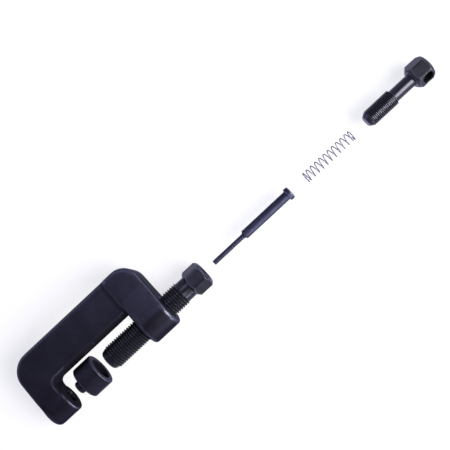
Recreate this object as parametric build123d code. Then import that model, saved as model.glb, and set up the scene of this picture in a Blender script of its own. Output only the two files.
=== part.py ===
from build123d import *
import os
from math import acos, atan2, cos, pi, radians, sin, sqrt, tan

# Chain breaker tool, in millimetres, laid out as it comes apart on a bench.
# The origin is the centre of the anvil seat on the lower arm of the C frame.
# +X runs along the screw axis towards the hexagon heads.
# +Y runs towards the spine of the frame, and +Z is up, square to its flat side.

# C frame, a steel forging
jaw_opening = 71.0          # anvil seat to the inner face of the screw arm
throat = 16.0               # screw axis to the inner wall of the spine
spine_width = 28.0          # spine across, in the plane of the C
spine_depth = 21.4          # spine and lower arm from side to side
lower_arm_length = 19.0     # lower arm along the screw axis, without its seat
seat_height = 1.4           # round seat that stands proud of the lower arm
lower_eye_radius = 11.2     # full round end of the lower arm
upper_arm_length = 23.6     # screw arm along the screw axis
upper_eye_radius = 14.3     # full round end of the screw arm
upper_root_depth = 23.8     # screw arm from side to side where it meets the spine
shoulder_line = 22.0        # distance from the axis where the screw arm stops tapering
lower_corner_radius = 15.5  # outer corner at the lower arm
upper_corner_radius = 13.5  # outer corner at the screw arm
inner_corner_radius = 4.0   # inner corner at the lower arm
outer_edge_round = 2.4      # rounding of the long outer edges
eye_edge_break = 1.4        # chamfer round the outer end of the lower eye
inner_edge_break = 1.0      # chamfer along the edges round the throat
arm_edge_break = 1.2        # chamfer along the screw arm's inner edge
seat_edge_break = 0.7       # chamfer round the seat's rim
bore_chamfer = 0.8          # lead-in at the open mouths of the bores

# Main bolt, hollow, with an external thread shown as its plain major diameter
thread_diameter = 18.0
thread_clearance = 0.05     # between the thread and its bore in the arm, per side
nose_diameter = 14.8
nose_base_diameter = 16.4
nose_length = 3.5
nose_chamfer = 0.8
main_thread_length = 69.3
thread_end_chamfer = 0.8
neck_diameter = 15.8
neck_length = 6.6
main_hex = 18.7             # across flats
main_hex_length = 14.6
main_hex_turn = 0.0         # turn of the flats from level, in degrees
main_hex_land = 0.6         # flat ring between the neck and the chamfer behind the head
main_hex_crown = 0.9        # chamfer at the end of the head, inside the flats
back_chamfer_angle = 45     # chamfer behind the head, in degrees from its face
front_chamfer_angle = 40    # chamfer at the end of the head, in degrees from its face
nose_gap = 36.6             # anvil seat to the tip of the main bolt, as laid out

# Anvil cup, which plugs into the lower arm
cup_diameter = 24.9
cup_length = 16.0
cup_bore = 17.0
cup_bore_depth = 10.0
cup_edge_chamfer = 0.7
stub_diameter = 9.6
stub_length = 5.7
stub_chamfer = 0.8
stub_clearance = 0.1        # between the stub and its bore in the arm, per side
rivet_passage = 6.2         # hole through the stub for the driven-out rivet
cup_gap = 7.2               # anvil seat to the end of the stub, as laid out

# Extractor pin
tip_diameter = 3.6
tip_length = 28.4
tip_chamfer = 0.3
shank_diameter = 6.8
shank_length = 42.4
shank_chamfer = 1.2
pin_head_diameter = 9.6
pin_head_length = 3.6
pin_head_chamfer = 0.6
pin_gap = 9.1              # main bolt's head to the tip of the pin, as laid out

# Return spring, a wire coil shown with its real turns
spring_diameter = 8.2
spring_wire = 0.75
spring_length = 45.2
spring_turns = 12.5
spring_steps = 10           # straight steps that stand for one turn of the wire
spring_rest = 1.15          # pitch of the closed end turns, in wire diameters
spring_bearing = 84         # where the wire starts, from +Y towards +Z, in degrees
spring_gap = 13.9           # pin head to the spring, as laid out

# Push bolt, with a cross hole for a tommy bar
push_thread_diameter = 12.7
push_thread_length = 22.9
push_clearance = 0.05       # between the push thread and its bore, per side
point_length = 3.4
point_diameter = 7.6
push_shank_diameter = 9.7
push_shank_length = 17.1
push_hex = 17.0             # across flats
push_hex_length = 16.3
push_hex_turn = -5.0        # turn of the flats from level, in degrees
push_hex_land = 1.6         # chamfer behind the head, inside the flats
push_dome_length = 3.6      # domed end of the head, along the axis
push_dome_step = 1.2        # where the dome's two cones meet, from the end
push_dome_crown = 3.0       # dome's end face, inside the flats
tommy_diameter = 8.6        # cross hole for the tommy bar
tommy_offset = 0.8          # its place beyond the middle of the head
push_gap = 13.1             # spring to the push bolt, as laid out

# Inside of the main bolt
guide_clearance = 0.1       # between the pin's shank and its guide bore, per side
head_clearance = 0.2        # between the pin's head and the tapping bore, per side
tip_retreat = 3.8           # tip of the pin behind the bolt's tip when it is home
point_relief = 0.7          # threaded bore past the push bolt's cone when it is home
guide_lead = 1.4            # radial lead-in at the guide bore's mouth
thread_lead = 1.0           # radial lead-in at the mouth of the threaded bore

# Places along the screw axis
lower_inner = -seat_height
lower_outer = lower_inner - lower_arm_length
upper_inner = jaw_opening
upper_outer = jaw_opening + upper_arm_length
spine_outer = throat + spine_width
bolt_tip = nose_gap
bolt_length = nose_length + main_thread_length + neck_length + main_hex_length
pin_length = tip_length + shank_length + pin_head_length
pin_tip = bolt_tip + bolt_length + pin_gap
pin_end = pin_tip + pin_length
spring_start = pin_end + spring_gap
push_start = spring_start + spring_length + push_gap
push_reach = point_length + push_thread_length + push_shank_length
corner_margin = 0.1         # how far the turned cut stays outside a hexagon's corners
overrun = 1.0               # how far a cut or a joined bar runs past the face it meets

# Radii and places inside the main bolt, from its tip
guide_radius = shank_diameter / 2 + guide_clearance
tapping_radius = pin_head_diameter / 2 + head_clearance
threaded_radius = push_thread_diameter / 2 + push_clearance
point_radius = point_diameter / 2
cone_slope = (push_thread_diameter / 2 - point_radius) / point_length
cone_inside = (tapping_radius - point_radius) / cone_slope
spring_seat = tip_retreat + tip_length + shank_length - spring_length
threaded_from = bolt_length - push_reach + cone_inside - point_relief


def along_x(profile, start):
    """Turn a profile drawn as axial distance and radius about the screw axis."""
    return Pos(start, 0, 0) * revolve(profile, Axis.X)


def turned(points):
    """Make a closed turned profile from points of axial distance and radius."""
    closed = [(points[0][0], 0)] + list(points) + [(points[-1][0], 0)]
    return make_face(Polyline(*closed, close=True))


def rod(start, length, radius):
    """Make a plain round bar along the screw axis."""
    return along_x(turned([(0, radius), (length, radius)]), start)


def hexagon_bar(start, length, flats, turn):
    """Make a hexagon bar along the screw axis, with one flat up before its turn."""
    corner = flats / 2 / cos(pi / 6)
    outline = Plane.YZ * Rot(0, 0, turn) * RegularPolygon(corner, 6, rotation=0)
    return Pos(start, 0, 0) * extrude(outline, length)


def in_plane(edge, axis, value):
    """Tell whether an edge lies wholly in the plane where one axis has this value."""
    box = edge.bounding_box()
    low = getattr(box.min, axis)
    high = getattr(box.max, axis)
    return abs(low - value) < 0.01 and abs(high - value) < 0.01


def upright_at(solid, x, y):
    """Find the upright edge of the plate at one corner of the C."""
    return [e for e in solid.edges().filter_by(Axis.Z) if in_plane(e, "X", x) and in_plane(e, "Y", y)]


def side_edges(plate, buried):
    """Find the edges round both flat sides of the plate, apart from its two ends."""
    whole = [e for e in plate.edges() if not in_plane(e, "X", buried) and not in_plane(e, "Y", 0)]
    half = spine_depth / 2
    return [e for e in whole if in_plane(e, "Z", half) or in_plane(e, "Z", -half)]


def c_plate():
    """Make the spine and the lower arm as one plate with its long edges rounded."""
    buried = upper_inner + upper_arm_length / 4
    length = buried - lower_outer
    outline = Pos(lower_outer + length / 2, spine_outer / 2) * Rectangle(length, spine_outer)
    gap = buried - lower_inner
    outline -= Pos(lower_inner + gap / 2, throat / 2) * Rectangle(gap, throat)
    plate = Pos(0, 0, -spine_depth / 2) * extrude(outline, spine_depth)
    plate = fillet(upright_at(plate, lower_outer, spine_outer), lower_corner_radius)
    plate = fillet(upright_at(plate, lower_inner, throat), inner_corner_radius)
    plate = fillet([e for e in side_edges(plate, buried) if not is_inner(e)], outer_edge_round)
    return chamfer([e for e in side_edges(plate, buried) if is_inner(e)], inner_edge_break)


def is_inner(edge):
    """Tell whether an edge of the plate borders the throat."""
    box = edge.bounding_box()
    beside_throat = box.max.Y <= throat + 0.01 and box.max.X > lower_inner - 0.01
    return beside_throat and box.min.X >= lower_inner - 0.01


def screw_arm():
    """Make the screw arm, which thickens from its root to a round eye on the axis."""
    root = upper_root_depth / 2
    reach = sqrt(shoulder_line ** 2 + root ** 2)
    bearing = atan2(root, shoulder_line) + acos(upper_eye_radius / reach)
    touch_y = upper_eye_radius * cos(bearing)
    touch_z = upper_eye_radius * sin(bearing)
    sides = Polyline((touch_y, touch_z), (shoulder_line, root), (spine_outer, root),
                     (spine_outer, -root), (shoulder_line, -root), (touch_y, -touch_z))
    end = ThreePointArc((touch_y, -touch_z), (-upper_eye_radius, 0), (touch_y, touch_z))
    section = Plane.YZ * make_face(Curve() + [sides, end])
    arm = Pos(upper_inner, 0, 0) * extrude(section, upper_arm_length)
    corner = [e for e in arm.edges() if in_plane(e, "X", upper_outer) and in_plane(e, "Y", spine_outer)]
    arm = fillet(corner, upper_corner_radius)
    outer = [e for e in arm.edges() if in_plane(e, "X", upper_outer)]
    arm = fillet(outer, outer_edge_round)
    inner = [e for e in arm.edges() if in_plane(e, "X", upper_inner)
             and not in_plane(e, "Y", spine_outer)]
    return chamfer(inner, arm_edge_break)


def lower_eye():
    """Make the round end of the lower arm with its raised seat."""
    eye = rod(lower_outer, lower_arm_length + seat_height, lower_eye_radius)
    back = [e for e in eye.edges() if in_plane(e, "X", lower_outer)]
    eye = chamfer(back, eye_edge_break)
    rim = [e for e in eye.edges() if in_plane(e, "X", 0)]
    return chamfer(rim, seat_edge_break)


def c_frame():
    """Make the forged C frame with the anvil bore and the threaded bore."""
    frame = c_plate() + screw_arm() + lower_eye()
    stub_bore = stub_diameter / 2 + stub_clearance
    screw_bore = thread_diameter / 2 + thread_clearance
    frame -= along_x(turned([
        (-overrun, stub_bore + bore_chamfer + overrun), (bore_chamfer, stub_bore),
        (overrun - lower_outer, stub_bore)]), lower_outer)
    frame -= along_x(turned([
        (-overrun, screw_bore + bore_chamfer + overrun), (bore_chamfer, screw_bore),
        (upper_arm_length - bore_chamfer, screw_bore),
        (upper_arm_length + overrun, screw_bore + bore_chamfer + overrun)]), upper_inner)
    return frame


def main_bolt():
    """Make the hollow main bolt with its nose, thread, neck and hexagon head."""
    nose = nose_diameter / 2
    nose_base = nose_base_diameter / 2
    thread = thread_diameter / 2
    neck = neck_diameter / 2
    thread_end = nose_length + main_thread_length
    hex_start = thread_end + neck_length
    body = along_x(turned([
        (0, nose - nose_chamfer), (nose_chamfer, nose), (nose_length, nose_base),
        (nose_length + thread - nose_base, thread), (thread_end - thread_end_chamfer, thread),
        (thread_end - thread_end_chamfer + thread - neck, neck), (hex_start + overrun, neck)]), bolt_tip)
    head = hexagon_bar(bolt_tip + hex_start, main_hex_length, main_hex, -main_hex_turn)
    flat = main_hex / 2
    corner = flat / cos(pi / 6) + corner_margin
    back_rise = (corner - neck - main_hex_land) * tan(radians(back_chamfer_angle))
    front_rise = (corner - flat + main_hex_crown) * tan(radians(front_chamfer_angle))
    head &= along_x(turned([
        (0, neck + main_hex_land), (back_rise, corner), (main_hex_length - front_rise, corner),
        (main_hex_length, flat - main_hex_crown)]), bolt_tip + hex_start)
    bolt = body + head
    bolt -= along_x(turned([
        (-overrun, guide_radius + guide_lead), (guide_lead - overrun, guide_radius),
        (spring_seat, guide_radius), (spring_seat, tapping_radius), (threaded_from, tapping_radius),
        (threaded_from + threaded_radius - tapping_radius, threaded_radius),
        (bolt_length - thread_lead, threaded_radius),
        (bolt_length + overrun, threaded_radius + thread_lead + overrun)]), bolt_tip)
    return bolt


def anvil_cup():
    """Make the anvil cup, a bored drum on a stub that plugs into the lower arm."""
    drum = cup_diameter / 2
    stub = stub_diameter / 2
    edge = cup_edge_chamfer
    whole = stub_length + cup_length
    cup = along_x(turned([
        (0, stub - stub_chamfer), (stub_chamfer, stub), (stub_length, stub),
        (stub_length, drum - edge), (stub_length + edge, drum), (whole - edge, drum),
        (whole, drum - edge)]), cup_gap)
    hollow = cup_bore / 2
    floor = whole - cup_bore_depth
    cup -= along_x(turned([
        (floor, hollow), (whole - edge, hollow), (whole + overrun, hollow + edge + overrun)]), cup_gap)
    cup -= rod(cup_gap - overrun, whole, rivet_passage / 2)
    return cup


def extractor_pin():
    """Make the extractor pin with its slender tip, guided shank and head."""
    tip = tip_diameter / 2
    shank = shank_diameter / 2
    head = pin_head_diameter / 2
    edge = pin_head_chamfer
    head_start = tip_length + shank_length
    return along_x(turned([
        (0, tip - tip_chamfer), (tip_chamfer, tip), (tip_length, tip),
        (tip_length + shank_chamfer, tip + shank_chamfer), (tip_length + shank_chamfer, shank),
        (head_start, shank), (head_start, head - edge / 2),
        (head_start + edge / 2, head), (pin_length - edge, head), (pin_length, head - edge)]), pin_tip)


def return_spring():
    """Make the return spring, whose wire follows a helix with a closed turn at each end."""
    mean = (spring_diameter - spring_wire) / 2
    closed = spring_rest * spring_wire
    pitch = (spring_length - spring_wire - 2 * closed) / (spring_turns - 2)
    path = []
    for step in range(int(spring_turns * spring_steps) + 1):
        turn = step / spring_steps
        open_turns = min(max(turn - 1, 0), spring_turns - 2)
        height = pitch * open_turns + closed * (turn - open_turns)
        bearing = radians(spring_bearing) + 2 * pi * turn
        path.append((height, mean * cos(bearing), mean * sin(bearing)))
    line = Polyline(*path)
    wire = Plane(origin=path[0], z_dir=line % 0) * RegularPolygon(spring_wire / 2, 6)
    coil = sweep(wire, path=line, transition=Transition.RIGHT)
    return Pos(spring_start + spring_wire / 2, 0, 0) * coil


def push_bolt():
    """Make the push bolt with its cone point, thread, shank and cross-bored head."""
    thread = push_thread_diameter / 2
    shank = push_shank_diameter / 2
    thread_end = point_length + push_thread_length
    body = along_x(turned([
        (0, point_radius), (point_length, thread), (thread_end - thread + shank, thread),
        (thread_end, shank), (push_reach + overrun, shank)]), push_start)
    head_start = push_start + push_reach
    head = hexagon_bar(head_start, push_hex_length, push_hex, -push_hex_turn)
    flat = push_hex / 2
    corner = flat / cos(pi / 6) + corner_margin
    head &= along_x(turned([
        (0, flat - push_hex_land), (corner - flat + push_hex_land, corner),
        (push_hex_length - push_dome_length, corner), (push_hex_length - push_dome_step, flat),
        (push_hex_length, flat - push_dome_crown)]), head_start)
    bolt = body + head
    bearing = 90 + 60 - push_hex_turn
    hole = Rot(bearing - 90, 0, 0) * Cylinder(tommy_diameter / 2, 3 * push_hex)
    return bolt - Pos(head_start + push_hex_length / 2 + tommy_offset, 0, 0) * hole


os.makedirs("parts", exist_ok=True)
pieces = {
    "c_frame": c_frame,
    "main_bolt": main_bolt,
    "anvil_cup": anvil_cup,
    "extractor_pin": extractor_pin,
    "return_spring": return_spring,
    "push_bolt": push_bolt,
}
for name, make in pieces.items():
    export_step(make(), "parts/" + name + ".step")
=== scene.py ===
from math import cos, pi, radians, sin

import bmesh
import bpy
import numpy as np
from mathutils import Matrix, Vector


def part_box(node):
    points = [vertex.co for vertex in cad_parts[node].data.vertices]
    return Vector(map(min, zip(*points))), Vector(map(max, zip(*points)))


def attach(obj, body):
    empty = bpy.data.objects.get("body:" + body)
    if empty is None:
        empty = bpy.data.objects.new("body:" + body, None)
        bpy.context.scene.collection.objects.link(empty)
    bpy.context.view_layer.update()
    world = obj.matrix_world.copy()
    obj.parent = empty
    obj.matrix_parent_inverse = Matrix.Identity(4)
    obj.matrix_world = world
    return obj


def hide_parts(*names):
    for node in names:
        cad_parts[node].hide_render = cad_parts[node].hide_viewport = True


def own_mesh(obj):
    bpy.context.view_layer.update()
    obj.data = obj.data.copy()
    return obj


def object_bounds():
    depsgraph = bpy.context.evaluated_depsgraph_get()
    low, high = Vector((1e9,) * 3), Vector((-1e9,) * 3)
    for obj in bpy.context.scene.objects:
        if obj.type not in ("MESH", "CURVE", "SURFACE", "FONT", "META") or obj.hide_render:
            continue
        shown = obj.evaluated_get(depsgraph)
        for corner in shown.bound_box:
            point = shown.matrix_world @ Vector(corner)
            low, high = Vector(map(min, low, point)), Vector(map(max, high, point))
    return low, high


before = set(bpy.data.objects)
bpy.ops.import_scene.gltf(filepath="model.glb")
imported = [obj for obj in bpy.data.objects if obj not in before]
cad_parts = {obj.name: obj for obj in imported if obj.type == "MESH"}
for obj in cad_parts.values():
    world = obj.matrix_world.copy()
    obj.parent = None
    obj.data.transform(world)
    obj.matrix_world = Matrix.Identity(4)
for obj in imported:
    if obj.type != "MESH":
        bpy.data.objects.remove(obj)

# A chain breaker tool, taken apart along its screw axis and laid on a white table.
# Sizes are in millimetres and degrees, unless a comment says metres. Meshes hold metres.
cad_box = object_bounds()
MM = 0.001
AROUND = 84                  # columns round a turned piece, a multiple of six for the hexagons
NEAR = 0.1                   # points so near to a wall belong to it


def start_of(node):
    """Distance along the screw axis at which a node begins."""
    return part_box(node)[0].x / MM


def end_of(node):
    """Distance along the screw axis at which a node ends."""
    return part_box(node)[1].x / MM


# Main bolt, hollow, M18 x 2
bolt_tip = start_of("main_bolt")
bolt_end = end_of("main_bolt")
nose_radius = 7.4
nose_base_radius = 8.2
nose_length = 3.5
main_thread_radius = 9.0
main_thread_length = 69.3
main_pitch = 2.0
neck_radius = 7.9
neck_length = 6.6
main_hex = 18.7
main_hex_crown = 0.9         # how far the end face lies within the flats
crown_slope = 0.84           # how far the crown runs along the axis for each millimetre inwards
nose_chamfer = 0.8
main_collar = 0.6            # the shoulder between neck and hexagon
main_run = 1.1               # length over which the thread fades out
bore_lead = 0.6              # chamfer at the bore's mouth in the nose
bolt_mouth = 1.0             # chamfer at its mouth in the hexagon
nut_run = 0.8
guide_radius = 3.5
spring_seat = 29.4
tapping_radius = 5.0
bolt_bore_radius = 6.4
bolt_bore_from = 52.29

# Push bolt, half an inch across with 20 threads per inch
push_start = start_of("push_bolt")
push_end = end_of("push_bolt")
point_radius = 3.8
point_length = 3.4
push_thread_radius = 6.35
push_thread_length = 22.9
push_pitch = 1.27
push_shank_radius = 4.85
push_shank_length = 17.1
push_run = 0.9
push_root = 0.4              # how far the point's base lies within the crest, and its edge's rounding
push_hex = 17.0
push_hex_turn = 5.0
push_hex_wear = 0.35         # how much of its wear the head keeps, which is scuffed less than the rest
push_collar = 1.6
dome_length = 3.6
dome_slope = 1.45            # how far the dome runs along the axis for each millimetre inwards
dome_step = 1.2
dome_inset = 3.0
tommy_radius = 4.3
tommy_offset = 0.8
tommy_bearing = 150.0        # direction of the hole, from +Y towards +Z, before the hexagon's turn
tommy_chamfer = 0.5
tommy_overrun = 2.0          # how far the cutter runs past the flats

# Anvil cup
cup_start = start_of("anvil_cup")
cup_end = end_of("anvil_cup")
cup_radius = 12.45
cup_bore_radius = 8.5
cup_bore_depth = 10.0
cup_edge = 0.7
stub_radius = 4.8
stub_length = 5.7
stub_edge = 0.8
rivet_radius = 3.1
rivet_edge = 0.4
# how dark the cup's bore is painted, as shade
cup_bore_shade = 0.5

# Extractor pin
pin_start = start_of("extractor_pin")
pin_end = end_of("extractor_pin")
tip_radius = 1.8
tip_length = 28.4
shank_radius = 3.4
shank_edge = 1.2
pin_head_radius = 4.8
pin_head_length = 3.6
pin_edge = 0.3
pin_head_edge = 0.6
pin_cut = 0.15               # rounding of the pin's edges

# Return spring
spring_start = start_of("return_spring")
spring_end = end_of("return_spring")
spring_radius = 4.18         # 0.08 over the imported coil, which is too narrow for the pin's shank
wire_radius = 0.375
wire_steps = 40              # sections of the wire in one turn
wire_sides = 12
spring_turns = 12.5
spring_rest = 1.15           # pitch of the closed end turns, in wire diameters
spring_bearing = 84.0        # where the wire starts, from +Y towards +Z, in degrees

# C frame, skinned with an even net
frame_net = 0.55
seat_bore = 4.93             # both bores are 0.03 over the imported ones, so that the net's facets clear
screw_bore = 9.08            # the cup's stub and the main bolt
bore_reach = 0.5             # how far from its wall a point still belongs to a bore
bore_facing = 0.85           # and how squarely it looks at the axis, from 0 to 1
bore_margin = (0.3, 1.2)     # distances from its wall between which points come free to relax
eye_behind = (-3.0, -7.0)    # the same at the lower eye: behind its seat,
eye_clear = (7.0, 9.0)       # outwards from its bore,
eye_aside = (11.0, 5.0)      # and away from the spine
even_rounds = 7              # rounds of relaxing all over, at the lower eye and in the hollows
eye_rounds = 40
hollow_rounds = 12
hollow_passes = 4
hollow_depth = 0.012         # how far a point lies behind its neighbours in a full hollow
edge_least = 0.007           # how proud of its neighbours a point is where an edge begins to look worn
edge_most = 0.026            # and where it is fully worn
evening_rounds = 3           # rounds in which that is evened out over the net
side_shade = 0.1             # painted shade where the frame looks sideways, square to its flat faces
side_tilt = (0.6, 0.2)       # upward part of a normal between which that sets in
throat_tilt = (0.1, 0.6)     # and the part towards the throat for what looks at it
hidden_edge = 0.9            # share of its wear that an edge loses where it looks at the throat, kept dark as painted shade
spine_edge = 0.3             # share of its wear that the spine's inner edge keeps; the rest is painted darker as shade
# how strong the painted highlight along the upper arm's ridge is
ridge_highlight = 0.55
ridge_reach = 12.0
ridge_tilt = (0.15, 0.45)    # parts of a normal between which the ridge sets in: towards the lower arm,
ridge_rise = (0.3, 0.6)      # and up or down
jaw_opening = 71.0           # from the seat to the upper arm
throat_axis = 2.0            # how far the throat's middle lies from the screw axis
throat_top = 21.5            # up to here a point can look at the throat
throat_overlap = 3.0         # and so far into both arms
spine_from = 12.0            # the spine's inner edge lies between here and the upper arm
spine_margin = 2.0
spine_top = 22.0

# Table, in metres
table_half = 2.5
table_glow = 0.66            # share of plain white in what the eye sees of it
# under the throat the table carries a painted pool of light that lifts the shadow there
throat_glow = 0.97           # and under the throat, which is white in the photograph
throat_centre = (0.034, 0.008)
throat_near = 0.030          # distances from that centre between which the one passes into the other
throat_far = 0.060

# Light tent and lamps, in metres
tent_wall = (0.86, 0.87, 1.16, 1)
tent_roof = (0.3, 0.3, 0.47, 1)
tent_strength = 0.6
tent_turn = (0.45, 0.95)     # heights of a direction between which the wall passes into the roof
lamps_aim = (0.165, 0.015, 0)
LAMPS = [                    # name, position and width in metres, power in watts, tint
    ("key", (0.62, -0.58, 0.70), 0.7, 27.0, (1.0, 0.98, 0.88)),
    ("fill", (-0.35, 0.75, 0.55), 0.6, 1.5, (0.9, 0.92, 1.0)),
    ("overhead", (0.03, 0.34, 0.85), 0.26, 1.7, (0.75, 0.76, 1.0)),
    ("strip", (0.20, -0.85, 0.16), 0.25, 5.0, (0.97, 0.97, 1.0)),
    ("end", (1.0, 0.12, 0.40), 0.35, 2.3, (0.85, 0.85, 1.0))]

# Camera, fitted to the outline of the frame in the photograph
camera_place = (178.7, -83.1, 533.7)
camera_aim = (163.83, 14.83, 0.0)
image_up_bearing = 47.65     # direction of the picture's top on the table, from the screw axis
camera_lens = 60.75
camera_sensor = 36
camera_near = 0.01           # in metres


# Shapes

def all_round(value):
    """A place or a radius that is the same all round, as one value per column."""
    return np.full(AROUND + 1, float(value))


def hexagon(flats, turn, sharpness=70):
    """Radius of a hexagon at each column: half the width across flats over the power mean of the cosines
    of the angles to its six flats. The higher the power, the sharper the corners."""
    bearing = columns(turn)
    normals = np.radians(turn + 30 + 60 * np.arange(6))
    closeness = np.clip(np.cos(bearing[None, :] - normals[:, None]), 0, None)
    return flats / 2 / (closeness ** sharpness).sum(axis=0) ** (1 / sharpness)


def columns(turn=0.0):
    """Bearings of the columns round the screw axis, from +Y towards +Z, with the seam's column twice."""
    return np.radians(turn) + np.linspace(0, 2 * pi, AROUND + 1)


CORNER_STEPS = (0.0, 0.25, 0.5, 0.75, 1.0)
CUT_SHARE = 0.3              # most of the shorter side that a rounding may take
BAND_CUTS = 2.5              # reach of the evened band beside a rounding, in cuts
BAND_SHARE = 0.48            # and most of the shorter side that it may take
BAND_FADE = 0.6              # how much the wear drops from a rounding's middle to its ends


def softened(outline, cut=0.25):
    """Round each inner corner of an outline with a parabola that leaves both sides one cut from the corner,
    and mark it as a worn edge. The outline is a list of places and radii; a radius may be one per column.
    Returns places, radii and wear, each with a row per point and a column per bearing."""
    points = np.array([[np.broadcast_to(x, AROUND + 1), np.broadcast_to(r, AROUND + 1)] for x, r in outline], float)
    rows = [points[0]]
    wear_and_painted_light = [0.0]
    for before, here, after in zip(points[:-2], points[1:-1], points[2:]):
        back = before - here
        ahead = after - here
        back_length = np.hypot(*back)
        ahead_length = np.hypot(*ahead)
        shorter = np.minimum(back_length, ahead_length)
        reach = np.minimum(cut, CUT_SHARE * shorter)
        outer = np.minimum(BAND_CUTS * cut, BAND_SHARE * shorter)
        to_back = back / np.maximum(back_length, 1e-9)
        to_ahead = ahead / np.maximum(ahead_length, 1e-9)
        convex = np.mean(to_back[0] * to_ahead[1] - to_back[1] * to_ahead[0]) > 0
        rows.append(here + to_back * outer)
        wear_and_painted_light.append(0.0)
        first = here + to_back * reach
        last = here + to_ahead * reach
        for t in CORNER_STEPS:
            rows.append((1 - t) ** 2 * first + 2 * t * (1 - t) * here + t ** 2 * last)
            wear_and_painted_light.append(1.0 - abs(2 * t - 1) ** 2 * BAND_FADE if convex else 0.0)
        rows.append(here + to_ahead * outer)
        wear_and_painted_light.append(0.0)
    rows.append(points[-1])
    wear_and_painted_light.append(0.0)
    rows = np.array(rows)
    return rows[:, 0], rows[:, 1], np.repeat(np.array(wear_and_painted_light)[:, None], AROUND + 1, axis=1)


def turned(places, radii, wear_and_painted_light, turn=0.0):
    """Carry an outline round the screw axis: each point is its place along X and its radius at the column's
    bearing. Returns a grid of points with the wear as a fourth value."""
    bearing = columns(turn)[None, :]
    return np.stack([places, radii * np.cos(bearing), radii * np.sin(bearing), wear_and_painted_light], axis=2)


# Sixty degree thread with its crest and root flats: place across one pitch, and depth
THREAD_SECTION = np.array([
    (0.00, 0.0), (0.05, 0.0), (0.08, 0.06), (0.22, 0.5), (0.36, 0.94), (0.41, 1.0),
    (0.50, 1.0), (0.59, 1.0), (0.64, 0.94), (0.78, 0.5), (0.92, 0.06), (0.95, 0.0)])
THREAD_DEPTH = 0.6134        # of the pitch
# how pale the crests are painted: rubbed steel, and a painted highlight along them
CREST_WEAR_AND_HIGHLIGHT = 0.4
CREST_FALL = 6               # power by which that falls off down the flanks


def threaded(start, end, radius, pitch, start_radius, end_radius, run, turn=0.0, inward=1.0):
    """Wind the thread section round the screw axis as a right-handed helix: a row's place is its share of
    a pitch plus one pitch per turn of bearing, held between the ends, and its radius dips by the
    section's depth. Within one run of each end the radius blends into the plain ring there.
    Inward is 1 for a bolt and -1 for a nut, whose section dips outwards. The crest is rubbed and painted
    paler as a highlight too, and painted shade darkens the roots by their dip."""
    turns = int((end - start) / pitch) + 3
    across = (np.arange(turns)[:, None] + THREAD_SECTION[None, :, 0]).ravel()
    dip = np.tile(THREAD_SECTION[:, 1], turns)[:, None]
    share = np.linspace(0, 1, AROUND + 1)[None, :]
    places = np.clip(start + pitch * (across[:, None] - 1 + share), start, end)
    radii = radius - inward * dip * THREAD_DEPTH * pitch
    near_start = eased(places, start, start + run)
    near_end = eased(places, end, end - run)
    radii = start_radius + (radii - start_radius) * near_start
    radii = end_radius + (radii - end_radius) * near_end
    # crests painted paler, as rubbed steel and as a painted highlight; roots painted darker by their dip, as shade
    wear_and_painted_light = (CREST_WEAR_AND_HIGHLIGHT * (1 - dip) ** CREST_FALL - dip) * near_start * near_end
    return turned(places, radii, wear_and_painted_light, turn)


def eased(value, start, end):
    """Ease from 0 to 1 by a cubic as the value goes from the start, up or down, to the end."""
    share = np.clip((value - start) / (end - start), 0, 1)
    return share * share * (3 - 2 * share)


def quads_of(grid, offset=0):
    """Quads between neighbouring rows and columns of a grid whose points are numbered from the offset."""
    rows, cols = grid.shape[:2]
    index = np.arange(rows * cols).reshape(rows, cols) + offset
    return np.stack([index[:-1, :-1], index[:-1, 1:], index[1:, 1:], index[1:, :-1]], axis=-1).reshape(-1, 4)


def mesh_piece(name, grids, body, slot, nodes):
    """Join grids of points into one closed mesh, with seams, poles and shared rings welded, so that the
    rows may meet along the axis."""
    corners, faces, wear_and_painted_light = [], [], []
    offset = 0
    for grid in grids:
        faces.append(quads_of(grid, offset))
        corners.append(grid[..., :3].reshape(-1, 3) * MM)
        wear_and_painted_light.append(grid[..., 3].ravel())
        offset += len(corners[-1])
    mesh = bpy.data.meshes.new(name)
    mesh.from_pydata(np.concatenate(corners), [], np.concatenate(faces))
    mark(mesh, np.concatenate(wear_and_painted_light))
    weld(mesh)
    return place(name, mesh, body, slot, nodes)


def weld(mesh, distance=3e-6):
    """Merge points that lie within a distance in metres and drop the faces that vanish."""
    work = bmesh.new()
    work.from_mesh(mesh)
    bmesh.ops.remove_doubles(work, verts=work.verts, dist=distance)
    work.to_mesh(mesh)
    work.free()


def put(name, data):
    """Put a new object with the given data into the scene."""
    thing = bpy.data.objects.new(name, data)
    bpy.context.scene.collection.objects.link(thing)
    return thing


def shown(thing):
    """A mesh of an object as its modifiers leave it."""
    bpy.context.view_layer.update()
    return bpy.data.meshes.new_from_object(thing.evaluated_get(bpy.context.evaluated_depsgraph_get()))


def place(name, mesh, body, slot, nodes):
    """Put a finished mesh into the scene, smooth but for its true edges, on its body."""
    smooth(mesh)
    piece = put(name, mesh)
    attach(piece, body)
    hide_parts(*nodes)
    return piece


def smooth(mesh, angle=32):
    """Shade a mesh smoothly, apart from edges sharper than the angle."""
    mesh.polygons.foreach_set("use_smooth", np.ones(len(mesh.polygons), bool))
    mesh.set_sharp_from_angle(angle=radians(angle))


# Pieces

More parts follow.
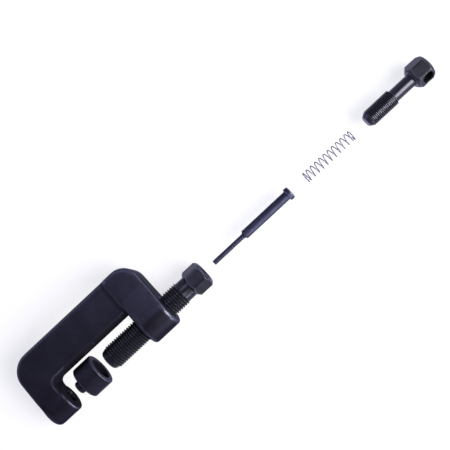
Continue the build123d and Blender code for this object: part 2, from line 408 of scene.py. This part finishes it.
def forged_frame():
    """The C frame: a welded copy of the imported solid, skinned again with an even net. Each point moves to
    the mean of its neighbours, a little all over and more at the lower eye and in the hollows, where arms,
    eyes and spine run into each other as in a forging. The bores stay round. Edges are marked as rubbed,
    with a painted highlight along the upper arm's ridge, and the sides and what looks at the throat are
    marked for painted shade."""
    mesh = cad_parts["c_frame"].data.copy()
    weld(mesh, 2e-6)
    core = put("forged_frame", mesh)
    net = core.modifiers.new("net", "REMESH")
    net.mode = "VOXEL"
    net.voxel_size = frame_net * MM
    skin = shown(core)
    bpy.data.objects.remove(core)
    relax(skin, clear_of_bores, even_rounds)
    relax(skin, lower_eye_share, eye_rounds)
    fill_hollows(skin)
    round_bores(skin)
    # painted shade on the faces that look sideways
    sides = side_shade * eased(abs(normals_of(skin)[:, 2]), *side_tilt)
    edges = eased(standing_out(skin), edge_least, edge_most)
    # painted shade where the frame looks at the throat; edges there, and along the spine's inner side, keep less
    # wear and stay darker
    hidden = facing_throat(skin)
    x, y, _ = net_of(skin)[0].T
    on_spine = (x > spine_from) & (x < jaw_opening - spine_margin) & (y < spine_top)
    edges *= (1 - hidden_edge * hidden) * np.where(on_spine, spine_edge, 1.0)
    # a painted highlight along the upper arm's ridge
    edges = np.maximum(edges, on_ridge(skin))
    mark(skin, edges - (1 - edges) * np.maximum(sides, hidden))
    return place("forged_frame", skin, "frame", "frame_steel", ["c_frame"])


def lower_eye_share(points):
    """How freely a point relaxes over the outside of the lower eye: fully behind its seat, outside its bore
    and away from the spine."""
    x, y, z = points.T
    return eased(x, *eye_behind) * eased(np.hypot(y, z), *eye_clear) * eased(y, *eye_aside)


def clear_of_bores(points):
    """How freely a point relaxes near the bores: not at all in them, and fully outside their margin."""
    x, y, z = points.T
    return eased(np.hypot(y, z) - bore_at(x), *bore_margin)


def bore_at(x):
    """Radius of the bore nearest to a place along the screw axis."""
    return np.where(x < jaw_opening / 2, seat_bore, screw_bore)


def round_bores(mesh):
    """Set the walls of both bores to their radii: a point that looks at the axis moves along its radius."""
    points, _ = net_of(mesh)
    radius = np.hypot(points[:, 1], points[:, 2])
    inward = -np.sum(points[:, 1:] * normals_of(mesh)[:, 1:], axis=1) / np.maximum(radius, 0.1)
    bore = bore_at(points[:, 0])
    wall = (np.abs(radius - bore) < bore_reach) & (inward > bore_facing)
    points[wall, 1:] *= (bore / radius)[wall, None]
    move(mesh, points)


def net_of(mesh):
    """Points of a mesh in millimetres, and a function that gives the mean of each point's neighbours."""
    points = np.empty(3 * len(mesh.vertices))
    mesh.vertices.foreach_get("co", points)
    ends = np.empty(2 * len(mesh.edges), dtype=np.int32)
    mesh.edges.foreach_get("vertices", ends)
    first, second = ends.reshape(-1, 2).T
    size = len(mesh.vertices)
    count = np.bincount(first, minlength=size) + np.bincount(second, minlength=size)

    def around(values):
        sums = [np.bincount(first, v[second], size) + np.bincount(second, v[first], size) for v in values.T]
        return np.stack(sums, axis=1) / count[:, None]

    return points.reshape(-1, 3) / MM, around


def relax(mesh, share, rounds):
    """Move every point half the way to the mean of its neighbours, times its share, in several rounds."""
    points, around = net_of(mesh)
    reach = 0.5 * share(points)[:, None]
    for _ in range(rounds):
        points += reach * (around(points) - points)
    move(mesh, points)


def move(mesh, points):
    """Move the points of a mesh to places in millimetres."""
    mesh.vertices.foreach_set("co", (points * MM).ravel())
    mesh.update()


def normals_of(mesh):
    """Normals at the points of a mesh."""
    normals = np.empty(3 * len(mesh.vertices))
    mesh.vertices.foreach_get("normal", normals)
    return normals.reshape(-1, 3)


def standing_out(mesh):
    """How far each point stands out from the mean of its neighbours along its normal, evened out over
    the net: above zero on an outer edge, below zero in a hollow."""
    points, around = net_of(mesh)
    proud = np.sum((points - around(points)) * normals_of(mesh), axis=1)[:, None]
    for _ in range(evening_rounds):
        proud = around(proud)
    return proud[:, 0]


def facing_throat(mesh):
    """How squarely each point looks at the middle of the throat, which is darkened as painted shade."""
    points, _ = net_of(mesh)
    towards = np.array([jaw_opening / 2, throat_axis, 0.0]) - points
    towards[:, 2] = 0
    towards /= np.maximum(np.linalg.norm(towards, axis=1)[:, None], 1e-6)
    x, y, _ = points.T
    inside = (x > -throat_overlap) & (x < jaw_opening + throat_overlap) & (y < throat_top)
    return eased(np.sum(towards * normals_of(mesh), axis=1), *throat_tilt) * inside


def on_ridge(mesh):
    """How far each point lies on the edge of the upper arm that looks at the lower one, painted light as a
    highlight from the ridge over the spine to the eye."""
    x = net_of(mesh)[0][:, 0]
    nx, _, nz = normals_of(mesh).T
    near = abs(x - jaw_opening) < ridge_reach
    return ridge_highlight * eased(-nx, *ridge_tilt) * eased(abs(nz), *ridge_rise) * near


def mark(mesh, values):
    """Keep the wear and painted light of each point for its material: 1 is rubbed bare, where the ridge and crests
    also carry a painted highlight, and -1 is full painted shade.
    """
    mesh.attributes.new("wear_and_painted_light", "FLOAT", "POINT").data.foreach_set("value", values.astype(np.float32))


def fill_hollows(mesh):
    """Widen the inner corners into a forging's fillets by relaxing only the points that lie in a hollow."""
    for _ in range(hollow_passes):
        hollow = eased(standing_out(mesh), 0, -hollow_depth)
        relax(mesh, lambda points: hollow * clear_of_bores(points), hollow_rounds)


def main_screw():
    """The hollow main bolt: coned nose, thread, neck and chamfered hexagon, and through it the stepped bore
    with its inner thread, darkened all over as painted shade."""
    thread_start = bolt_tip + nose_length
    thread_end = thread_start + main_thread_length
    hex_start = thread_end + neck_length
    flat = main_hex / 2
    corners = hexagon(main_hex, 0)
    back = hex_start + corners - neck_radius - main_collar
    front = bolt_end - (corners - flat + main_hex_crown) * crown_slope
    nose = softened([
        (bolt_tip + bore_lead, guide_radius), (bolt_tip, guide_radius + bore_lead),
        (bolt_tip, nose_radius - nose_chamfer), (bolt_tip + nose_chamfer, nose_radius),
        (thread_start, nose_base_radius)])
    head = softened([
        (thread_end, neck_radius), (hex_start, neck_radius), (hex_start, neck_radius + main_collar),
        (back, corners), (front, corners), (bolt_end, flat - main_hex_crown),
        (bolt_end, bolt_bore_radius + bolt_mouth), (bolt_end - bolt_mouth, bolt_bore_radius)])
    bore_start = bolt_tip + bolt_bore_from + bolt_bore_radius - tapping_radius
    bore = softened([
        (bore_start, bolt_bore_radius), (bore_start - bolt_bore_radius + tapping_radius, tapping_radius),
        (bolt_tip + spring_seat, tapping_radius), (bolt_tip + spring_seat, guide_radius),
        (bolt_tip + bore_lead, guide_radius)])
    thread = threaded(thread_start, thread_end, main_thread_radius, main_pitch, nose_base_radius, neck_radius,
                      main_run)
    nut = threaded(bore_start, bolt_end - bolt_mouth, bolt_bore_radius, push_pitch, bolt_bore_radius,
                   bolt_bore_radius, nut_run, inward=-1.0)
    # the bore and its inner thread are painted dark as shade
    nut[..., 3] = -1
    bore[2][:] = -1
    grids = [turned(*nose), thread, turned(*head), nut[::-1], turned(*bore)]
    return mesh_piece("main_screw", grids, "main_screw", "bolt_steel", ["main_bolt"])


def riveting_cup():
    """The anvil cup: a bored drum on its stub, with a passage through both."""
    shoulder = cup_start + stub_length
    middle = cup_start + (stub_length + cup_end - cup_start - cup_bore_depth) / 2
    floor = cup_end - cup_bore_depth
    outline = softened([
        (middle, rivet_radius), (cup_start + rivet_edge, rivet_radius), (cup_start, rivet_radius + rivet_edge),
        (cup_start, stub_radius - stub_edge), (cup_start + stub_edge, stub_radius), (shoulder, stub_radius),
        (shoulder, cup_radius - cup_edge), (shoulder + cup_edge, cup_radius), (cup_end - cup_edge, cup_radius),
        (cup_end, cup_radius - cup_edge), (cup_end, cup_bore_radius + cup_edge),
        (cup_end - cup_edge, cup_bore_radius), (floor, cup_bore_radius), (floor, rivet_radius),
        (middle, rivet_radius)])
    grid = turned(*outline)
    radius = np.hypot(grid[..., 1], grid[..., 2])
    # the bore is painted darker as shade
    grid[(radius < cup_bore_radius + NEAR) & (grid[..., 0] > floor - NEAR), 3] = -cup_bore_shade
    return mesh_piece("riveting_cup", [grid], "anvil", "cup_steel", ["anvil_cup"])


def driving_pin():
    """The extractor pin: slender tip, chamfered shank and flat head, turned in one outline."""
    shank = pin_start + tip_length
    head = pin_end - pin_head_length
    outline = softened([
        (pin_start, 0), (pin_start, tip_radius - pin_edge), (pin_start + pin_edge, tip_radius), (shank, tip_radius),
        (shank + shank_edge, tip_radius + shank_edge), (shank + shank_edge, shank_radius), (head, shank_radius),
        (head, pin_head_radius - pin_edge), (head + pin_edge, pin_head_radius),
        (pin_end - pin_head_edge, pin_head_radius), (pin_end, pin_head_radius - pin_head_edge), (pin_end, 0)],
        pin_cut)
    return mesh_piece("driving_pin", [turned(*outline)], "pin", "pin_steel", ["extractor_pin"])


def return_spring():
    """The return spring: a round wire whose centre line is a right-handed helix. Its height grows by the
    open pitch per turn between two closed end turns, and the wire's circle stands square to it."""
    closed = spring_rest * 2 * wire_radius
    inner = spring_end - spring_start - 2 * wire_radius
    pitch = (inner - 2 * closed) / (spring_turns - 2)
    turn = np.linspace(0, spring_turns, int(spring_turns * wire_steps) + 1)
    opened = ramp(turn - 1) - ramp(turn - spring_turns + 1)
    height = pitch * opened + closed * (turn - opened)
    height = spring_start + wire_radius + height / height[-1] * inner
    mean = spring_radius - wire_radius
    bearing = radians(spring_bearing) + 2 * pi * turn
    centre = np.stack([height, mean * np.cos(bearing), mean * np.sin(bearing)], axis=1)
    along = np.gradient(centre, axis=0)
    along /= np.linalg.norm(along, axis=1)[:, None]
    outward = np.stack([0 * turn, np.cos(bearing), np.sin(bearing)], axis=1)
    side = np.cross(along, outward)
    ends = [(0.0, 0.0), (0.0, 0.82), (0.12, 1.0)]    # the cut end's place along the wire and width, in radii
    step = np.linspace(0, 2 * pi, wire_sides + 1)
    rows = []
    for shift, size in ends:
        rows.append((centre[0] + along[0] * shift * wire_radius, outward[0], side[0], size))
    for i in range(1, len(turn) - 1):
        rows.append((centre[i], outward[i], side[i], 1.0))
    for shift, size in reversed(ends):
        rows.append((centre[-1] - along[-1] * shift * wire_radius, outward[-1], side[-1], size))
    middle = np.array([r[0] for r in rows])[:, None]
    out = np.array([r[1] for r in rows])[:, None]
    across = np.array([r[2] for r in rows])[:, None]
    size = np.array([r[3] for r in rows])[:, None, None] * wire_radius
    points = middle + size * (np.cos(step)[None, :, None] * out + np.sin(step)[None, :, None] * across)
    grid = np.concatenate([points, np.zeros(points.shape[:2] + (1,))], axis=2)
    piece = mesh_piece("coil_spring", [grid], "spring", "spring_wire", ["return_spring"])
    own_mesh(piece)
    return piece


def ramp(value):
    """Zero before zero and the value itself after it, with a short smooth bend between."""
    return (value + np.sqrt(value * value + 0.01)) / 2


def push_screw():
    """The push bolt: cone point, thread, shank and domed hexagon head with a cross hole."""
    thread_start = push_start + point_length
    thread_end = thread_start + push_thread_length
    head_start = thread_end + push_shank_length
    flat = push_hex / 2
    corners = hexagon(push_hex, push_hex_turn)
    back = head_start + corners - flat + push_collar
    front = push_end - dome_length + (corners.max() - corners) * dome_slope
    root = push_thread_radius - push_root
    point = softened([(push_start, 0), (push_start, point_radius), (thread_start, root)], push_root)
    thread = threaded(thread_start, thread_end, push_thread_radius, push_pitch, root, push_shank_radius,
                      push_run, push_hex_turn)
    head = softened([
        (thread_end, push_shank_radius), (head_start, push_shank_radius), (head_start, flat - push_collar),
        (back, corners), (front, corners), (push_end - dome_step, flat), (push_end, flat - dome_inset),
        (push_end, 0)])
    head[2][:] *= push_hex_wear
    grids = [turned(*point, push_hex_turn), thread, turned(*head, push_hex_turn)]
    piece = mesh_piece("push_screw", grids, "push_screw", "push_bolt_steel", ["push_bolt"])
    bore_across(piece, (head_start + push_end) / 2 + tommy_offset, radians(tommy_bearing + push_hex_turn))
    return piece


def bore_across(piece, centre, bearing):
    """Bore the tommy hole: a cylinder square to the screw axis that widens at 45 degrees in each flat, with
    painted shade on its wall."""
    inner = push_hex / 2 - tommy_chamfer
    outer = push_hex / 2 + tommy_overrun
    wide = tommy_radius + tommy_chamfer + tommy_overrun
    outline = [(-outer, 0), (-outer, wide), (-inner, tommy_radius), (inner, tommy_radius), (outer, wide), (outer, 0)]
    places = np.array([all_round(x) for x, _ in outline])
    radii = np.array([all_round(r) for _, r in outline])
    grid = turned(places, radii, np.zeros(places.shape))
    mesh = bpy.data.meshes.new("tommy_cutter")
    mesh.from_pydata(grid[..., :3].reshape(-1, 3) * MM, [], quads_of(grid))
    weld(mesh)
    axis = Vector((0, cos(bearing), sin(bearing)))
    turn = axis.to_track_quat("X", "Z").to_matrix().to_4x4()
    mesh.transform(Matrix.Translation((centre * MM, 0, 0)) @ turn)
    cutter = put("tommy_cutter", mesh)
    cut = piece.modifiers.new("tommy_hole", "BOOLEAN")
    cut.operation = "DIFFERENCE"
    cut.solver = "EXACT"
    cut.object = cutter
    bored = shown(piece)
    piece.modifiers.clear()
    piece.data = bored
    bpy.data.objects.remove(cutter)
    wear_and_painted_light = np.empty(len(bored.vertices))
    bored.attributes["wear_and_painted_light"].data.foreach_get("value", wear_and_painted_light)
    offset = net_of(bored)[0] - [centre, 0, 0]
    offset -= (offset @ axis)[:, None] * np.array(axis)
    # the hole's wall is painted dark as shade
    wear_and_painted_light[np.linalg.norm(offset, axis=1) < tommy_radius + NEAR] = -1
    bored.attributes["wear_and_painted_light"].data.foreach_set("value", wear_and_painted_light)
    smooth(bored)


# Materials

oxide_metal = 0.85                     # how metallic the dark skin is: a magnetite layer on steel
oxide_sheen = 0.1                      # specular level of what isn't metallic in it
forged_edge = (0.3, 0.3, 0.42, 1.0)    # how little it brightens where it is seen at a low angle
turned_edge = (0.62, 0.62, 0.8, 1.0)   # the same on the smoother turned pieces
wire_edge = (0.35, 0.35, 0.42, 1.0)    # and on the wire
painted_shade_roughness = 0.5                  # what full painted shade adds to the roughness
worn_roughness = -0.08                 # and what rubbing, and the ridge's painted highlight, adds on the forging
oil_roughness = 0.3
speck_share = 0.7                      # how much of a speck's own colour shows
speck_core = 0.030                     # its radius and that of its rim, in cells of the pattern
speck_rim = 0.045
middle_noise = (0.3, 0.7)              # the part of a noise's range that is stretched from 0 to 1
fine_noise = (0.25, 0.75)


def colour(code):
    """Linear colour of an sRGB hex code."""
    parts = [int(code[i:i + 2], 16) / 255 for i in (1, 3, 5)]
    return [p / 12.92 if p <= 0.04045 else ((p + 0.055) / 1.055) ** 2.4 for p in parts] + [1.0]


def add(tree, kind, inputs=(), **settings):
    """Add a node, set its settings, and set or link its inputs, given as pairs of socket and value."""
    node = tree.nodes.new(kind)
    for key, value in settings.items():
        setattr(node, key, value)
    for socket, value in inputs:
        if isinstance(value, bpy.types.NodeSocket):
            tree.links.new(value, node.inputs[socket])
        else:
            node.inputs[socket].default_value = value
    return node


def begin(name):
    """Start a material with a bare principled shader and its coordinates."""
    material = bpy.data.materials.new(name)
    material.use_nodes = True
    tree = material.node_tree
    shader = tree.nodes["Principled BSDF"]
    coordinates = add(tree, "ShaderNodeTexCoord")
    return material, tree, shader, coordinates.outputs["Object"]


def grade(tree, value, low, high, to_low=0.0, to_high=1.0):
    """Map a value from one range to another, held at both ends."""
    return add(tree, "ShaderNodeMapRange", [("Value", value), ("From Min", low), ("From Max", high),
                                            ("To Min", to_low), ("To Max", to_high)]).outputs["Result"]


def mixed(tree, share, first, second):
    """Mix two colours by a share."""
    node = add(tree, "ShaderNodeMix", [(0, share), (6, first), (7, second)], data_type="RGBA")
    return node.outputs[2]


def noise(tree, place, size, detail=3.0):
    """Noise whose grains are about the given size in millimetres, with finer ones the more detail it has."""
    return add(tree, "ShaderNodeTexNoise", [("Vector", place), ("Scale", 1 / (size * MM)), ("Detail", detail),
                                            ("Roughness", 0.55)]).outputs["Fac"]


def cells(tree, place, size):
    """Distance from the nearest of many scattered points about the given size in millimetres apart."""
    return add(tree, "ShaderNodeTexVoronoi", [("Vector", place), ("Scale", 1 / (size * MM))]).outputs["Distance"]


def sum_of(tree, value, factor, rest):
    """A value times a factor, added to the rest, held between 0 and 1."""
    return add(tree, "ShaderNodeMath", [(0, value), (1, factor), (2, rest)], operation="MULTIPLY_ADD",
               use_clamp=True).outputs[0]


def axial_place(tree, place):
    """Place along the screw axis and distance from it, which is the same all round a turned surface."""
    parts = add(tree, "ShaderNodeSeparateXYZ", [(0, place)]).outputs
    flat = add(tree, "ShaderNodeCombineXYZ", [("Y", parts["Y"]), ("Z", parts["Z"])]).outputs[0]
    radius = add(tree, "ShaderNodeVectorMath", [(0, flat)], operation="LENGTH").outputs["Value"]
    return add(tree, "ShaderNodeCombineXYZ", [("X", parts["X"]), ("Y", radius)]).outputs[0]


def bumped(tree, shader, *layers):
    """Stack bumps, each a height and its depth in millimetres, onto the shader's normal."""
    normal = None
    for height, depth in layers:
        inputs = [("Height", height), ("Distance", depth * MM), ("Strength", 1.0)]
        if normal is not None:
            inputs.append(("Normal", normal))
        normal = add(tree, "ShaderNodeBump", inputs).outputs["Normal"]
    tree.links.new(normal, shader.inputs["Normal"])


def wear_and_shade_of(tree, place, grain_size, least):
    """Shares of bare steel, with painted highlights, and of painted shade at a point, from the piece's own
    wear and painted light. Grains of the given size break up the bare steel, down to the least share."""
    wear_and_painted_light = add(tree, "ShaderNodeAttribute", attribute_name="wear_and_painted_light").outputs["Fac"]
    grains = grade(tree, noise(tree, place, grain_size), *middle_noise, least, 1.0)
    bare = add(tree, "ShaderNodeMath", [(0, wear_and_painted_light), (1, grains)], operation="MULTIPLY", use_clamp=True).outputs[0]
    return bare, grade(tree, wear_and_painted_light, -1.0, 0.0, 1.0, 0.0)


def turned_steel(name, oxide, pale, bare, roughness, oil=0.0):
    """Steel turned on a lathe and black-oxided: a thin blue-black skin with a satin gloss and faint tool
    rings, a little cloudy from the bath, rubbed to bare steel along edges and thread crests, which also
    paints a highlight on the crests, and painted dark as shade in the roots and bores. Oil is the share of
    an oil film, which makes faces seen at a low angle paler."""
    material, tree, shader, place = begin(name)
    rings = noise(tree, axial_place(tree, place), size=0.5, detail=2.0)
    cloud = noise(tree, place, size=5.0)
    grain = noise(tree, place, size=0.35, detail=2.0)
    worn_and_highlight, painted_shade = wear_and_shade_of(tree, place, grain_size=1.6, least=0.92)
    skin = mixed(tree, grade(tree, cloud, *middle_noise), colour(oxide), colour(pale))
    # painted shade colour, laid where the attribute is below zero
    skin = mixed(tree, painted_shade, skin, colour("#14141B"))
    # pale bare steel on rubbed edges, also the painted highlight along thread crests
    tree.links.new(mixed(tree, worn_and_highlight, skin, colour(bare)), shader.inputs["Base Color"])
    rough = grade(tree, grain, *fine_noise, roughness - 0.04, roughness + 0.06)
    tree.links.new(sum_of(tree, painted_shade, painted_shade_roughness, rough), shader.inputs["Roughness"])
    shader.inputs["Metallic"].default_value = oxide_metal
    shader.inputs["Specular IOR Level"].default_value = oxide_sheen
    shader.inputs["Specular Tint"].default_value = turned_edge
    shader.inputs["Coat Weight"].default_value = oil
    shader.inputs["Coat Roughness"].default_value = oil_roughness
    bumped(tree, shader, (rings, 0.004), (grain, 0.004))
    return material


def forged_steel():
    """Drop-forged steel, shot-blasted and black-oxided: nearly black with a blue cast, softly clouded, finely
    pitted, with a few bright specks where scale has flaked, paler worn corners with a painted highlight
    along the upper arm's ridge, and painted shade in the throat and on the sides."""
    material, tree, shader, place = begin("black_oxided_forging")
    blotch = noise(tree, place, size=14.0)
    grain = noise(tree, place, size=0.9)
    pits = cells(tree, place, size=0.8)
    speck = grade(tree, cells(tree, place, size=9.0), speck_core, speck_rim, speck_share, 0.0)
    worn_and_highlight, painted_shade = wear_and_shade_of(tree, place, grain_size=0.9, least=0.5)
    skin = mixed(tree, grade(tree, blotch, *middle_noise), colour("#1E1D25"), colour("#25242D"))
    # painted shade colour of the throat and the sides
    skin = mixed(tree, painted_shade, skin, colour("#1B1A22"))
    skin = mixed(tree, speck, skin, colour("#8E8E9E"))
    # pale rubbed steel, also the colour of the painted ridge highlight
    tree.links.new(mixed(tree, worn_and_highlight, skin, colour("#505060")), shader.inputs["Base Color"])
    rough = sum_of(tree, worn_and_highlight, worn_roughness, grade(tree, grain, *fine_noise, 0.32, 0.42))
    tree.links.new(sum_of(tree, painted_shade, painted_shade_roughness, rough), shader.inputs["Roughness"])
    shader.inputs["Metallic"].default_value = oxide_metal
    shader.inputs["Specular IOR Level"].default_value = oxide_sheen
    shader.inputs["Specular Tint"].default_value = forged_edge
    bumped(tree, shader, (blotch, 0.06), (grain, 0.02), (pits, 0.012))
    return material


def drawn_wire():
    """Drawn spring wire, tempered: dark grey with a violet cast, smooth, with fine draw marks."""
    material, tree, shader, place = begin("drawn_spring_wire")
    streak = noise(tree, axial_place(tree, place), size=0.2, detail=2.0)
    cloud = noise(tree, place, size=3.0)
    tree.links.new(mixed(tree, grade(tree, cloud, *middle_noise), colour("#5A586A"), colour("#77758A")),
                   shader.inputs["Base Color"])
    tree.links.new(grade(tree, streak, *middle_noise, 0.3, 0.42), shader.inputs["Roughness"])
    shader.inputs["Metallic"].default_value = 1.0
    shader.inputs["Specular Tint"].default_value = wire_edge
    bumped(tree, shader, (streak, 0.004))
    return material


def give(piece, material):
    """Give a piece one material."""
    piece.data.materials.clear()
    piece.data.materials.append(material)


# Stage, lights and camera

def white_table():
    """A plain white table under the tool. It scatters light as matt paper does, but the camera and glossy
    or clear surfaces see it mixed with plain white, and with more white under the throat as a painted pool
    of light that lifts the shadow there, so that it looks white and keeps a soft shadow elsewhere."""
    low = cad_box[0][2]
    mesh = bpy.data.meshes.new("table")
    half = table_half
    corners = [(-half, -half, low), (half, -half, low), (half, half, low), (-half, half, low)]
    mesh.from_pydata(corners, [], [(0, 1, 2, 3)])
    table = put("table", mesh)
    material = bpy.data.materials.new("white_table")
    material.use_nodes = True
    tree = material.node_tree
    tree.nodes.clear()
    matt = add(tree, "ShaderNodeBsdfDiffuse", [("Color", colour("#CACAD4"))]).outputs[0]
    white = add(tree, "ShaderNodeEmission", [("Color", (1, 1, 1, 1)), ("Strength", 1.0)]).outputs[0]
    path = add(tree, "ShaderNodeLightPath").outputs
    seen = add(tree, "ShaderNodeMath", [(0, path["Is Camera Ray"]), (1, path["Is Glossy Ray"])],
               operation="ADD").outputs[0]
    seen = add(tree, "ShaderNodeMath", [(0, seen), (1, path["Is Transmission Ray"])], operation="ADD").outputs[0]
    place = add(tree, "ShaderNodeTexCoord").outputs["Object"]
    distance = add(tree, "ShaderNodeVectorMath", [(0, place), (1, (*throat_centre, low))],
                   operation="DISTANCE").outputs["Value"]
    # more white under the throat: a painted pool of light
    glow = grade(tree, distance, throat_near, throat_far, throat_glow, table_glow)
    share = add(tree, "ShaderNodeMath", [(0, seen), (1, glow)], operation="MULTIPLY", use_clamp=True).outputs[0]
    surface = add(tree, "ShaderNodeMixShader", [(0, share), (1, matt), (2, white)]).outputs[0]
    add(tree, "ShaderNodeOutputMaterial", [("Surface", surface)])
    give(table, material)


def studio():
    """A light tent, pale all round and dimmer above, which the camera itself sees as plain white, and five
    soft lamps: a broad key over the push bolt and the open side of the C, weak ones over the spine, above
    and beyond the push bolt's head, and a low one on the open side that draws the lines along the screws."""
    world = bpy.data.worlds.new("light_tent")
    bpy.context.scene.world = world
    world.use_nodes = True
    tree = world.node_tree
    tree.nodes.clear()
    direction = add(tree, "ShaderNodeTexCoord").outputs["Generated"]
    height = add(tree, "ShaderNodeSeparateXYZ", [(0, direction)]).outputs["Z"]
    tent = mixed(tree, grade(tree, height, *tent_turn), tent_wall, tent_roof)
    glow = add(tree, "ShaderNodeBackground", [("Color", tent), ("Strength", tent_strength)]).outputs[0]
    white = add(tree, "ShaderNodeBackground", [("Color", (1, 1, 1, 1)), ("Strength", 1.0)]).outputs[0]
    seen = add(tree, "ShaderNodeLightPath").outputs["Is Camera Ray"]
    surface = add(tree, "ShaderNodeMixShader", [(0, seen), (1, glow), (2, white)]).outputs[0]
    add(tree, "ShaderNodeOutputWorld", [("Surface", surface)])
    for settings in LAMPS:
        lamp(*settings)


def lamp(name, position, size, power, tint):
    """A square soft lamp that faces the middle of the tool."""
    light = bpy.data.lights.new(name, "AREA")
    light.color = tint
    light.size = size
    light.energy = power
    holder = put(name, light)
    holder.location = position
    holder.rotation_euler = (Vector(lamps_aim) - holder.location).to_track_quat("-Z", "Y").to_euler()


def camera():
    """The photograph's camera: above the table, a little towards its right and lower side."""
    data = bpy.data.cameras.new("camera")
    data.lens = camera_lens
    data.sensor_width = camera_sensor
    data.clip_start = camera_near
    holder = put("camera", data)
    position = Vector(camera_place) * MM
    back = (position - Vector(camera_aim) * MM).normalized()
    bearing = radians(image_up_bearing)
    right = Vector((cos(bearing), sin(bearing), 0)).cross(back).normalized()
    up = back.cross(right)
    turn = Matrix((right, up, back)).transposed().to_4x4()
    holder.matrix_world = Matrix.Translation(position) @ turn
    bpy.context.scene.camera = holder
    bpy.context.scene.view_settings.view_transform = "Standard"


give(forged_frame(), forged_steel())
give(main_screw(), turned_steel("black_oxided_bolt", "#191922", "#20202A", "#5A5A6C", 0.32, oil=0.25))
give(riveting_cup(), turned_steel("black_oxided_cup", "#1B1A22", "#212029", "#4C4C5E", 0.45))
give(driving_pin(), turned_steel("black_oxided_pin", "#262735", "#2E2F40", "#6A6A80", 0.4))
give(return_spring(), drawn_wire())
give(push_screw(), turned_steel("black_oxided_push_bolt", "#21212C", "#292935", "#74748A", 0.27, oil=0.35))
white_table()
studio()
camera()
